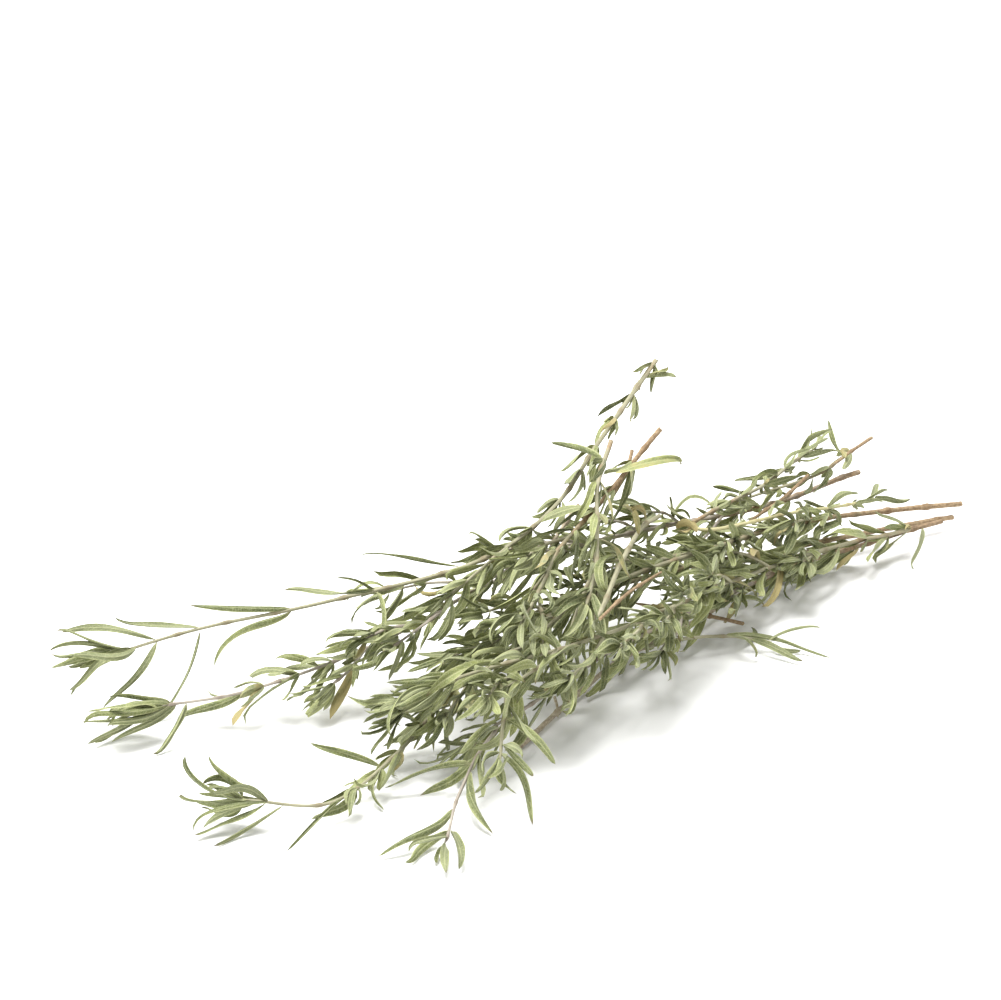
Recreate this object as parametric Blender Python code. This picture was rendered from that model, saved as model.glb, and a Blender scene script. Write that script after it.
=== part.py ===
"""A bundle of dried herb sprigs, cut and laid down loose.

Fifteen sprigs lie across each other with their cut, woody ends together at +X and their leafy tips
fanned out towards -X. Every stem is one solid. Every tuft of leaves that grew from one bud is one
solid too, and the long leaves that stand clear of the pile, or that touch the surface, are one
solid each. Positions are in millimetres, and become metres as each mesh is made.
"""
import math

import bmesh
import bpy
import numpy as np
from mathutils import Vector

MM = 0.001                    # one millimetre in metres
MIDDLE = (17.4, -14.7, 0.0)   # the middle of the bundle's footprint, which becomes the origin
SEED = 7                      # the same bundle every time
GAP = 0.35                    # air between a leaf's foot and its stem
FLOOR_GAP = 0.25              # lowest point that a leaf's middle line may have

LEAF_WIDTH = 2.7              # a long leaf across its widest part
LEAF_THICK = 0.55             # through the middle rib
LEAF_FOLD = 0.35              # how far each half is lifted, for each mm out from the rib
LEAF_RINGS = 7                # sections along a long leaf, without its two points
TUFT_RINGS = 5                # and along a leaf of a tuft
STEM_SIDES = 6
STEM_STEP = 7.0               # length of stem between two sections
BUD_RADIUS = 0.6              # the little knob that a tuft's leaves grow from

OLD_WOOD = ((0.36, 0.23, 0.13), 0.85)
YOUNG_STEM = ((0.42, 0.40, 0.27), 0.75)
STRAW_STEM = ((0.62, 0.55, 0.30), 0.70)
GREEN_LEAF = ((0.25, 0.33, 0.13), 0.80)

# Each sprig: its route from the cut end to the growing tip, the stem's radius at both ends, its
# colour, its tip tuft as (leaves, length, spread in degrees), and its long leaves, each as
# (distance back from the growing tip, the leaf's own tip, how far it arches up).
SPRIGS = {
    "back_long_sprig": dict(
        route=[(47, 19, 54), (28, 10, 44), (8, 3, 32), (-10, 4, 25), (-36, 14, 20), (-62, 22, 17),
               (-79, 26, 14.5)],
        radii=(0.5, 0.34), look=YOUNG_STEM, tuft=(7, 16, 20),
        leaves=[(9, (-87, 32, 19), 0.05), (9, (-85, 19, 7), 0.05), (18, (-77, 29, 21), 0.0),
                (18, (-73, 21, 0.5), 0.1), (37, (-62, 26, 21), 0.05), (37, (-59, 22, 8), 0.0),
                (54, (-46, 16, 24), 0.05), (54, (-35, 4, 11), 0.25), (72, (-29, 15, 28), 0.05)]),
    "left_sprig": dict(
        route=[(107, 21, 15), (80, 20, 13), (45, 15, 17), (20, 12, 19), (0, 10, 17), (-28, 7, 12),
               (-56, 9, 8), (-76, 13.5, 7)],
        radii=(0.65, 0.34), look=YOUNG_STEM, tuft=(8, 17, 14),
        leaves=[(6, (-80, 8, 0.5), 0.1), (18, (-69, 18, 1), 0.1), (34, (-50, 13, 11), 0.05),
                (36, (-48, 2, 3), 0.1), (50, (-37, 16, 9), 0.05)]),
    "front_left_sprig": dict(
        route=[(126.5, 10, 3.2), (84, 11, 5.5), (48, 5, 11), (16, -1, 14), (-8, -9, 13), (-30, -18, 9),
               (-45, -26, 5.5), (-64, -34, 4), (-79, -27, 6)],
        radii=(0.65, 0.34), look=OLD_WOOD, tuft=(8, 15, 32),
        leaves=[(29, (-54, -36, 0.5), 0.05), (32, (-60, -19, 9), 0.05), (20, (-77, -40, 0.5), 0.1),
                (47, (-44, -5, 9), 0.1), (8, (-87, -31, 0.6), 0.1)]),
    "front_sprig": dict(
        route=[(119, 5.5, 5.4), (75, 4, 5), (40, -8, 8), (12, -18, 10), (-10, -27, 10), (-30, -35, 8),
               (-42, -44, 4.5), (-53, -55.5, 2)],
        radii=(0.65, 0.32), look=OLD_WOOD, tuft=(3, 12, 26),
        leaves=[(24, (-51, -31, 2), 0.15), (22, (-42, -55, 0.6), 0.25), (11, (-64, -50.5, 0.5), 0.1),
                (162, (69, -3, 0.8), 0.15), (182, (103, -4, 0.6), 0.1)]),
    "middle_sprig": dict(
        route=[(129, 10, 6), (105, 14, 7.5), (78, 8, 13), (48, -2, 18), (20, -9, 20), (-2, -16, 19),
               (-18, -26, 16), (-28, -37, 13.5), (-36, -48, 11)],
        radii=(0.7, 0.34), look=OLD_WOOD, tuft=(5, 12, 34),
        leaves=[(13, (-40, -40, 10), 0.05), (13, (-25, -50, 8), 0.15), (2, (-34, -56, 0.6), 0.1)]),
    "bare_woody_sprig": dict(
        route=[(-20, -29, 0.6), (0, -18, 1.2), (20, -9, 2.2), (45, -2, 2.5), (75, 9, 3), (92, 15, 3)],
        radii=(0.7, 0.45), look=OLD_WOOD, tuft=(3, 11, 24), leaves=[]),
    "right_front_sprig": dict(
        route=[(22, -12, 5), (34, -13, 4.5), (43, -15, 3.5), (50, -20, 2.5)],
        radii=(0.45, 0.3), look=YOUNG_STEM, tuft=(2, 9, 22),
        leaves=[(8, (53, -9, 1), 0.3), (11, (58, -30, 0.6), 0.35)]),
    "brown_twig": dict(
        route=[(51, -9, 2.2), (45, -6, 4), (38, -3, 6), (30, 2, 8)],
        radii=(0.45, 0.36), look=OLD_WOOD, tuft=None, leaves=[]),
    "upright_sprig": dict(
        route=[(25, 4, 45), (17, -3, 39), (12, -10, 34), (6, -18, 29), (-2, -26, 25)],
        radii=(0.55, 0.38), look=YOUNG_STEM, tuft=(4, 12, 22),
        leaves=[(40, (14, 10, 45), 0.1)]),
    "pale_bare_sprig": dict(
        route=[(34, -1, 28), (24, -8, 29), (10, -20, 28), (-3, -32, 26)],
        radii=(0.6, 0.5), look=YOUNG_STEM, tuft=None, leaves=[]),
    "crossing_sprig": dict(
        route=[(36, 2, 46), (20, -1, 35), (6, -6, 29), (-4, -14, 26), (-16, -24, 24)],
        radii=(0.6, 0.4), look=YOUNG_STEM, tuft=(4, 12, 20), leaves=[]),
    "front_middle_sprig": dict(
        route=[(108, 4, 6.5), (75, 0, 9), (42, -12, 14), (12, -26, 19), (-8, -30, 20), (-25, -28, 19),
               (-37, -27, 17.5)],
        radii=(0.55, 0.38), look=YOUNG_STEM, tuft=(6, 12, 24), leaves=[]),
    "straw_sprig": dict(
        route=[(40, -4, 25), (46, -6, 24), (72, 2, 19), (88, 5, 16), (102, 9, 13.5)],
        radii=(0.6, 0.38), look=STRAW_STEM, tuft=(3, 10, 20), leaves=[]),
    "high_right_sprig": dict(
        route=[(45, 2, 23), (60, 7, 23), (70, 10, 23), (82, 15, 24), (91, 18, 25)],
        radii=(0.5, 0.36), look=YOUNG_STEM, tuft=(3, 9, 34),
        leaves=[(12, (70, 20, 21), 0.1)]),
    "far_right_sprig": dict(
        route=[(115, 26.5, 20), (100, 21, 18.5), (90, 18, 18), (66, 14, 19)],
        radii=(0.5, 0.34), look=YOUNG_STEM, tuft=(3, 10, 22),
        leaves=[(38, (102, 27, 27), 0.1)]),
}


def clear_scene():
    """Empty the file that this script runs in."""
    for obj in list(bpy.data.objects):
        bpy.data.objects.remove(obj)


def material(name, look):
    """A plain coat of one colour and roughness."""
    colour, roughness = look
    mat = bpy.data.materials.new(name)
    mat.use_nodes = True
    shader = mat.node_tree.nodes["Principled BSDF"]
    shader.inputs["Base Color"].default_value = (*colour, 1.0)
    shader.inputs["Roughness"].default_value = roughness
    shader.inputs["Metallic"].default_value = 0.0
    return mat


def unit(vector):
    return vector / np.linalg.norm(vector)


def smooth_route(points, step):
    """Walk a Catmull-Rom curve through the points, and return stops one step apart along it."""
    pts = np.array(points, float)
    pts = np.vstack([2 * pts[0] - pts[1], pts, 2 * pts[-1] - pts[-2]])
    t = np.linspace(0, 1, 24, endpoint=False)[:, None]
    spans = []
    for a, b, c, d in zip(pts, pts[1:], pts[2:], pts[3:]):
        spans.append(0.5 * (2 * b + (c - a) * t + (2 * a - 5 * b + 4 * c - d) * t ** 2
                            + (3 * b - a - 3 * c + d) * t ** 3))
    fine = np.vstack(spans + [pts[-2][None]])
    along = np.concatenate([[0], np.cumsum(np.linalg.norm(np.diff(fine, axis=0), axis=1))])
    count = max(2, round(along[-1] / step)) + 1
    stops = np.linspace(0, along[-1], count)
    return np.column_stack([np.interp(stops, along, fine[:, k]) for k in range(3)])


def mesh_object(name, rings, first, last, mat, smooth):
    """Skin a run of closed rings, with one point beyond each end, as a closed body."""
    count, sides = rings.shape[:2]
    verts = (np.vstack([rings.reshape(-1, 3), first, last]) - MIDDLE) * MM
    faces = []
    for i in range(count - 1):
        for j in range(sides):
            k = (j + 1) % sides
            a, b = i * sides, (i + 1) * sides
            faces += [(a + j, b + k, a + k), (a + j, b + j, b + k)]
    start, end = count * sides, count * sides + 1
    for j in range(sides):
        k = (j + 1) % sides
        faces.append((start, j, k))
        faces.append((end, (count - 1) * sides + k, (count - 1) * sides + j))
    mesh = bpy.data.meshes.new(name)
    mesh.from_pydata(verts.tolist(), [], faces)
    mesh.materials.append(mat)
    if smooth:
        mesh.shade_smooth()
        mesh.set_sharp_from_angle(angle=math.radians(50))
    obj = bpy.data.objects.new(name, mesh)
    bpy.context.collection.objects.link(obj)
    return obj


def make_stem(name, points, radii, mat):
    """A thin round stem that tapers from its cut end to its tip, with a flat face at both ends."""
    ahead = np.gradient(points, axis=0)
    ahead /= np.linalg.norm(ahead, axis=1)[:, None]
    side = np.cross(ahead, [0, 0, 1])
    side /= np.linalg.norm(side, axis=1)[:, None]
    over = np.cross(side, ahead)
    radius = np.linspace(radii[0], radii[1], len(points))[:, None, None]
    turn = np.linspace(0, 2 * math.pi, STEM_SIDES, endpoint=False)[None, :, None]
    rings = points[:, None] + radius * (np.cos(turn) * side[:, None] + np.sin(turn) * over[:, None])
    return mesh_object(name, rings, points[0], points[-1], mat, smooth=True)


def leaf_line(foot, leave, tip, arch, rings):
    """A leaf's middle line: it leaves its foot in one direction, arches, and ends at its tip."""
    chord = tip - foot
    length = np.linalg.norm(chord)
    level = unit(np.cross(chord, [0, 0, 1.0]))
    lift = np.cross(level, unit(chord)) * arch * length
    handle_a = foot + leave * length * 0.3 + lift
    handle_b = tip - unit(chord) * length * 0.3 + lift
    t = np.linspace(0, 1, rings + 2)[:, None]
    line = ((1 - t) ** 3 * foot + 3 * (1 - t) ** 2 * t * handle_a + 3 * (1 - t) * t ** 2 * handle_b
            + t ** 3 * tip)
    line[:, 2] = np.maximum(line[:, 2], FLOOR_GAP)
    return line


def make_leaf(name, line, roll, width, mat):
    """A narrow folded leaf: a shallow V section that is widest near the middle of its length."""
    ahead = np.gradient(line, axis=0)
    ahead /= np.linalg.norm(ahead, axis=1)[:, None]
    chord = unit(line[-1] - line[0])
    above = np.cross(unit(np.cross(chord, [0, 0, 1.0])), chord)
    side = np.cross(ahead, above)
    side /= np.linalg.norm(side, axis=1)[:, None]
    over = np.cross(side, ahead)
    side, over = (math.cos(roll) * side + math.sin(roll) * over,
                  math.cos(roll) * over - math.sin(roll) * side)
    t = np.linspace(0, 1, len(line))[1:-1]
    half = (0.5 * width * np.sin(math.pi * t ** 0.8) ** 0.7)[:, None]
    thick = (0.5 * LEAF_THICK * (0.55 + 0.45 * np.sin(math.pi * t)))[:, None]
    mid, side, over = line[1:-1], side[1:-1], over[1:-1]
    edge_lift = over * half * LEAF_FOLD
    rings = np.stack([mid + side * half + edge_lift, mid + over * thick,
                      mid - side * half + edge_lift, mid - over * thick], axis=1)
    return mesh_object(name, rings, line[0], line[-1], mat, smooth=False)


def make_tuft(name, centre, ahead, shape, rng, mat):
    """The leaves at a growing tip: a small bud with narrow leaves fused to it, all one piece."""
    count, length, spread = shape
    bud_mesh = bpy.data.meshes.new(name)
    ball = bmesh.new()
    bmesh.ops.create_icosphere(ball, subdivisions=1, radius=BUD_RADIUS * MM)
    ball.to_mesh(bud_mesh)
    ball.free()
    bud = bpy.data.objects.new(name, bud_mesh)
    bud.location = Vector((centre - MIDDLE) * MM)
    bud_mesh.materials.append(mat)
    bpy.context.collection.objects.link(bud)
    side = unit(np.cross(ahead, [0, 0, 1.0]))
    over = np.cross(side, ahead)
    for k in range(count):
        turn = 2 * math.pi * (k + rng.uniform(-0.2, 0.2)) / count
        open_angle = math.radians(spread * rng.uniform(0.6, 1.15))
        outward = math.cos(turn) * side + math.sin(turn) * over
        heading = math.cos(open_angle) * ahead + math.sin(open_angle) * outward
        foot = centre + 0.25 * BUD_RADIUS * outward
        tip = foot + heading * length * rng.uniform(0.75, 1.05)
        tip[2] = max(tip[2], FLOOR_GAP + 0.2)
        line = leaf_line(foot, unit(ahead + 0.5 * heading), tip, 0.04, TUFT_RINGS)
        leaf = make_leaf(f"{name}_blade_{k}", line, rng.uniform(-0.9, 0.9), LEAF_WIDTH * 0.85, mat)
        leaf.hide_render = True
        leaf.display_type = "WIRE"
        join = bud.modifiers.new(f"blade_{k}", "BOOLEAN")
        join.operation = "UNION"
        join.object = leaf
    return bud


def make_sprig(name, plan, rng, leaf_mat):
    """One cut sprig: its stem, the tuft at its tip, and its long leaves."""
    stops = smooth_route(plan["route"], STEM_STEP)
    stem_mat = material(f"{name}_stem_coat", plan["look"])
    make_stem(f"{name}_stem", stops, plan["radii"], stem_mat)
    fine = smooth_route(plan["route"], 0.5)
    from_tip = np.concatenate([[0], np.cumsum(np.linalg.norm(np.diff(fine[::-1], axis=0), axis=1))])
    fine = fine[::-1]
    ahead = unit(fine[0] - fine[4])
    if plan["tuft"]:
        make_tuft(f"{name}_tip_leaves", fine[0] + ahead * (BUD_RADIUS + GAP), ahead, plan["tuft"],
                  rng, leaf_mat)
    for number, (back, tip, arch) in enumerate(plan["leaves"], 1):
        at = int(np.searchsorted(from_tip, back))
        growing = unit(fine[at - 2] - fine[at + 2])
        tip = np.array(tip, float)
        outward = tip - fine[at] - np.dot(tip - fine[at], growing) * growing
        outward = unit(outward)
        radius = np.interp(back, [0, from_tip[-1]], plan["radii"][::-1])
        foot = fine[at] + outward * (radius + GAP)
        line = leaf_line(foot, unit(growing + 0.8 * outward), tip, arch, LEAF_RINGS)
        make_leaf(f"{name}_leaf_{number}", line, rng.uniform(-0.6, 0.6), LEAF_WIDTH, leaf_mat)


def build():
    clear_scene()
    rng = np.random.default_rng(SEED)
    for name, plan in SPRIGS.items():
        make_sprig(name, plan, rng, material(f"{name}_leaf_coat", GREEN_LEAF))


build()
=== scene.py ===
"""A loose bundle of dried herb sprigs: fifteen cut stems with their narrow leaves, lying on a
pale table. Lengths are in millimetres and become metres as each mesh is made."""
import math

import bpy
import numpy as np
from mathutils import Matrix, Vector


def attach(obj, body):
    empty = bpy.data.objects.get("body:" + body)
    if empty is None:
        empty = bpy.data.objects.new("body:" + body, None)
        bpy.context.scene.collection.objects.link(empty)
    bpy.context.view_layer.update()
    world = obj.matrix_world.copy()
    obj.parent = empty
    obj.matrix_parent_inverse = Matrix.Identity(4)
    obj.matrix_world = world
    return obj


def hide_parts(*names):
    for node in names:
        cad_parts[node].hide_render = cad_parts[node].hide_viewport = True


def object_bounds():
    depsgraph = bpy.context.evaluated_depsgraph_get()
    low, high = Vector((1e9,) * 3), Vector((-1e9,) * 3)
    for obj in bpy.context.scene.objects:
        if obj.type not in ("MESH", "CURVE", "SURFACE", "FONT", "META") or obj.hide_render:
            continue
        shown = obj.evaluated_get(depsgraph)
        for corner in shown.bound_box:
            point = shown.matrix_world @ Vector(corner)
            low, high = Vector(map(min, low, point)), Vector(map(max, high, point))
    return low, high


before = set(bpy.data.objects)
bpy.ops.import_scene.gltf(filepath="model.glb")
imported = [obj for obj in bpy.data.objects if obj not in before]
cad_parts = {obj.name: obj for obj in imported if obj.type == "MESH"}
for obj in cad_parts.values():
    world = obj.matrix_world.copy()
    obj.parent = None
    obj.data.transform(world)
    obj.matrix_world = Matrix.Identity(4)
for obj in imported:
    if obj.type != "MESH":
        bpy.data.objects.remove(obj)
cad_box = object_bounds()

# ---------------------------------------------------------------------------------------------
# The table, the light and the camera. The table is a plain pale sheet, seen from low down at one
# corner. It has a broad soft light above, a fainter one beside the leafy tips, and an even white
# room around it.
# ---------------------------------------------------------------------------------------------
MM = 0.001
TABLE_HALF = 4000.0
CAMERA_TURN = math.radians(-33.0)
CAMERA_RISE = math.radians(22.0)
CAMERA_REACH = 600.0
CAMERA_AIM = np.array([0.2, 49.1, 23.2])


def add_node(tree, kind, values=None, **settings):
    """Put one node in a tree: settings are its own choices, values are numbers or links."""
    node = tree.nodes.new("ShaderNode" + kind)
    for key, value in settings.items():
        setattr(node, key, value)
    for key, value in (values or {}).items():
        if isinstance(value, bpy.types.NodeSocket):
            tree.links.new(value, node.inputs[key])
        else:
            node.inputs[key].default_value = value
    return node


def blend_colours(tree, amount, low, high, way="MIX"):
    """The colour that lies between two others by an amount from 0 to 1."""
    node = add_node(tree, "Mix", {0: amount, 6: low, 7: high}, data_type="RGBA", blend_type=way)
    return node.outputs[2]


def ramp(tree, value, start, end, low=0.0, high=1.0):
    """A soft step: low before start, high after end, and a smooth rise between."""
    node = add_node(tree, "MapRange", {0: value, 1: start, 2: end, 3: low, 4: high},
                    interpolation_type="SMOOTHSTEP")
    return node.outputs[0]


def sums(tree, how, first, second=0.0, third=0.0):
    """One sum, such as ADD or MULTIPLY, on one to three numbers."""
    node = add_node(tree, "Math", {0: first, 1: second, 2: third}, operation=how)
    return node.outputs[0]


def new_finish(name):
    """A material with one Principled shader, and its node tree."""
    mat = bpy.data.materials.new(name)
    mat.use_nodes = True
    return mat, mat.node_tree, mat.node_tree.nodes["Principled BSDF"]


def lay_table():
    """The pale sheet: one large square, faintly uneven in tone."""
    half = TABLE_HALF * MM
    mesh = bpy.data.meshes.new("table")
    mesh.from_pydata([(-half, -half, 0), (half, -half, 0), (half, half, 0), (-half, half, 0)],
                     [], [(0, 1, 2, 3)])
    mat, tree, shader = new_finish("table_sheet")
    spot = add_node(tree, "TexCoord").outputs["Object"]
    tone = add_node(tree, "TexNoise", {"Vector": spot, "Scale": 3.0}).outputs["Fac"]
    tree.links.new(blend_colours(tree, tone, (0.90, 0.90, 0.89, 1), (0.93, 0.93, 0.93, 1)),
                   shader.inputs["Base Color"])
    shader.inputs["Roughness"].default_value = 0.8
    shader.inputs["Specular IOR Level"].default_value = 0.2
    mesh.materials.append(mat)
    table = bpy.data.objects.new("table", mesh)
    bpy.context.collection.objects.link(table)


def facing(heading):
    """The turn that points an object's own -Z along a heading, with its +Y as far up as it goes."""
    return Vector(heading).to_track_quat("-Z", "Y").to_euler()


def soft_light(name, place, aim, size, power):
    """A square soft box at one place, turned to face another, both in millimetres."""
    data = bpy.data.lights.new(name, "AREA")
    data.size = size * MM
    data.energy = power
    lamp = bpy.data.objects.new(name, data)
    lamp.location = [c * MM for c in place]
    heading = (np.array(aim) - place) * MM
    lamp.rotation_euler = facing(heading)
    bpy.context.collection.objects.link(lamp)


def set_camera():
    """A long lens, a little over half a metre away, looking down over the leafy end."""
    back = np.array([math.sin(CAMERA_TURN) * math.cos(CAMERA_RISE),
                     -math.cos(CAMERA_TURN) * math.cos(CAMERA_RISE), math.sin(CAMERA_RISE)])
    data = bpy.data.cameras.new("camera")
    data.lens = 100.0
    data.sensor_width = 36.0
    data.clip_start = 0.01
    camera = bpy.data.objects.new("camera", data)
    camera.location = (CAMERA_AIM + back * CAMERA_REACH) * MM
    camera.rotation_euler = facing(-back)
    bpy.context.collection.objects.link(camera)
    bpy.context.scene.camera = camera


def set_room():
    """An even white room."""
    world = bpy.data.worlds.new("room")
    bpy.context.scene.world = world
    world.use_nodes = True
    sky = world.node_tree.nodes["Background"]
    sky.inputs["Color"].default_value = (1.0, 1.0, 1.0, 1)
    sky.inputs["Strength"].default_value = 0.72
    bpy.context.scene.view_settings.view_transform = "Standard"


lay_table()
set_room()
set_camera()
soft_light("overhead", (-60, 120, 700), (0, 0, 10), 420, 9.0)
soft_light("side_fill", (-600, 100, 300), (0, 0, 10), 400, 2.0)

# ---------------------------------------------------------------------------------------------
# The stems. Each is one cut shoot: squarish and grey-green to purple-grey while young, round,
# brown and scarred where it has turned to wood. It swells a little at each pair of leaves, and
# turns slightly there. The routes are the ones that the solid stems follow.
# ---------------------------------------------------------------------------------------------
MIDDLE = np.array([17.4, -14.7, 0.0])
STATION = 0.7
STEM_SIDES = 14

# Each stem: its route from the cut end to the growing tip, its radius at both ends, how much of
# it is old wood (a negative number means straw), and the seed of its joints.
STEMS = {
    "back_long_sprig": dict(
        route=[(47, 19, 54), (28, 10, 44), (8, 3, 32), (-10, 4, 25), (-36, 14, 20), (-62, 22, 17),
               (-79, 26, 14.5)], radii=(0.55, 0.28), wood=0.2, seed=1),
    "left_sprig": dict(
        route=[(107, 21, 15), (80, 20, 13), (45, 15, 17), (20, 12, 19), (0, 10, 17), (-28, 7, 12),
               (-56, 9, 8), (-76, 13.5, 7)], radii=(0.6, 0.28), wood=0.45, seed=2),
    "front_left_sprig": dict(
        route=[(126.5, 10, 3.2), (84, 11, 5.5), (48, 5, 11), (16, -1, 14), (-8, -9, 13), (-30, -18, 9),
               (-45, -26, 5.5), (-64, -34, 4), (-79, -27, 6)], radii=(0.58, 0.28), wood=0.6,
        seed=3),
    "front_sprig": dict(
        route=[(119, 5.5, 5.4), (75, 4, 5), (40, -8, 8), (12, -18, 10), (-10, -27, 10),
               (-30, -35, 8), (-42, -44, 4.5), (-53, -55.5, 2)], radii=(0.55, 0.26), wood=0.55,
        seed=4),
    "middle_sprig": dict(
        route=[(129, 10, 6), (105, 14, 7.5), (78, 8, 13), (48, -2, 18), (20, -9, 20),
               (-2, -16, 19), (-18, -26, 16), (-28, -37, 13.5), (-36, -48, 11)],
        radii=(0.62, 0.3), wood=0.6, seed=5),
    "bare_woody_sprig": dict(
        route=[(-20, -29, 0.6), (0, -18, 1.2), (20, -9, 2.2), (45, -2, 2.5), (75, 9, 3),
               (92, 15, 3)], radii=(0.55, 0.42), wood=1.3, seed=6),
    "right_front_sprig": dict(
        route=[(22, -12, 5), (34, -13, 4.5), (43, -15, 3.5), (50, -20, 2.5)], radii=(0.4, 0.25),
        wood=0.2, seed=7),
    "brown_twig": dict(
        route=[(51, -9, 2.2), (45, -6, 4), (38, -3, 6), (30, 2, 8)], radii=(0.4, 0.32), wood=1.5,
        seed=8),
    "upright_sprig": dict(
        route=[(25, 4, 45), (17, -3, 39), (12, -10, 34), (6, -18, 29), (-2, -26, 25)],
        radii=(0.5, 0.32), wood=0.3, seed=9),
    "pale_bare_sprig": dict(
        route=[(34, -1, 28), (24, -8, 29), (10, -20, 28), (-3, -32, 26)], radii=(0.5, 0.45),
        wood=0.1, seed=10),
    "crossing_sprig": dict(
        route=[(36, 2, 46), (20, -1, 35), (6, -6, 29), (-4, -14, 26), (-16, -24, 24)],
        radii=(0.55, 0.32), wood=0.7, seed=11),
    "front_middle_sprig": dict(
        route=[(108, 4, 6.5), (75, 0, 9), (42, -12, 14), (12, -26, 19), (-8, -30, 20),
               (-25, -28, 19), (-37, -27, 17.5)], radii=(0.45, 0.32), wood=0.3, seed=12),
    "straw_sprig": dict(
        route=[(40, -4, 25), (46, -6, 24), (72, 2, 19), (88, 5, 16), (102, 9, 13.5)],
        radii=(0.40, 0.30), wood=-1.0, seed=13),
    "high_right_sprig": dict(
        route=[(45, 2, 23), (60, 7, 23), (70, 10, 23), (82, 15, 24), (91, 18, 25)],
        radii=(0.42, 0.3), wood=0.5, seed=14),
    "far_right_sprig": dict(
        route=[(115, 26.5, 20), (100, 21, 18.5), (90, 18, 18), (66, 14, 19)], radii=(0.42, 0.28),
        wood=0.6, seed=15),
}


def unit(vectors):
    """Vectors of length one, along the last axis."""
    return vectors / np.linalg.norm(vectors, axis=-1, keepdims=True)


def smooth_route(points, step):
    """Walk a Catmull-Rom curve through the points and return stops one step apart along it."""
    pts = np.array(points, float)
    pts = np.vstack([2 * pts[0] - pts[1], pts, 2 * pts[-1] - pts[-2]])
    t = np.linspace(0, 1, 24, endpoint=False)[:, None]
    spans = []
    for a, b, c, d in zip(pts, pts[1:], pts[2:], pts[3:]):
        spans.append(0.5 * (2 * b + (c - a) * t + (2 * a - 5 * b + 4 * c - d) * t ** 2
                            + (3 * b - a - 3 * c + d) * t ** 3))
    fine = np.vstack(spans + [pts[-2][None]])
    along = np.concatenate([[0], np.cumsum(np.linalg.norm(np.diff(fine, axis=0), axis=1))])
    stops = np.linspace(0, along[-1], max(2, round(along[-1] / step)) + 1)
    return np.column_stack([np.interp(stops, along, fine[:, k]) for k in range(3)]), stops


def put_mesh(name, verts, faces, mats, vectors, slots=None):
    """Make a smooth mesh from whole arrays, in metres around the bundle's middle, with each
    named set of three numbers kept on its points."""
    mesh = bpy.data.meshes.new(name)
    mesh.from_pydata(((verts - MIDDLE) * MM).tolist(), [], faces)
    for key, values in vectors.items():
        layer = mesh.attributes.new(key, "FLOAT_VECTOR", "POINT")
        layer.data.foreach_set("vector", values.astype(np.float32).ravel())
    for mat in mats:
        mesh.materials.append(mat)
    if slots is not None:
        mesh.polygons.foreach_set("material_index", slots)
    mesh.shade_smooth()
    mesh.set_sharp_from_angle(angle=math.radians(55))
    obj = bpy.data.objects.new(name, mesh)
    bpy.context.collection.objects.link(obj)
    return obj


def lattice(rows, cols, first):
    """Four-sided faces between the rows of a grid that closes on itself across its columns."""
    i, j = np.meshgrid(np.arange(rows - 1), np.arange(cols), indexing="ij")
    k = (j + 1) % cols
    return (first + np.stack([i * cols + j, (i + 1) * cols + j, (i + 1) * cols + k, i * cols + k],
                             axis=-1)).reshape(-1, 4)


def stem_line(plan):
    """A stem's middle line: its route, bent a few tenths of a millimetre at each leaf joint."""
    line, along = smooth_route(plan["route"], STATION)
    rng = np.random.default_rng(plan["seed"])
    joints = np.arange(rng.uniform(5, 9), along[-1] - 3, 11.0)
    joints = joints + rng.uniform(-2, 2, len(joints))
    knots = np.concatenate([[0], joints, [along[-1]]])
    bends = rng.uniform(-0.32, 0.32, (len(knots), 3))
    bends[:, 2] = np.abs(bends[:, 2])
    bends[[0, -1]] = 0
    line = line + np.column_stack([np.interp(along, knots, bends[:, k]) for k in range(3)])
    return line, along, joints


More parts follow.
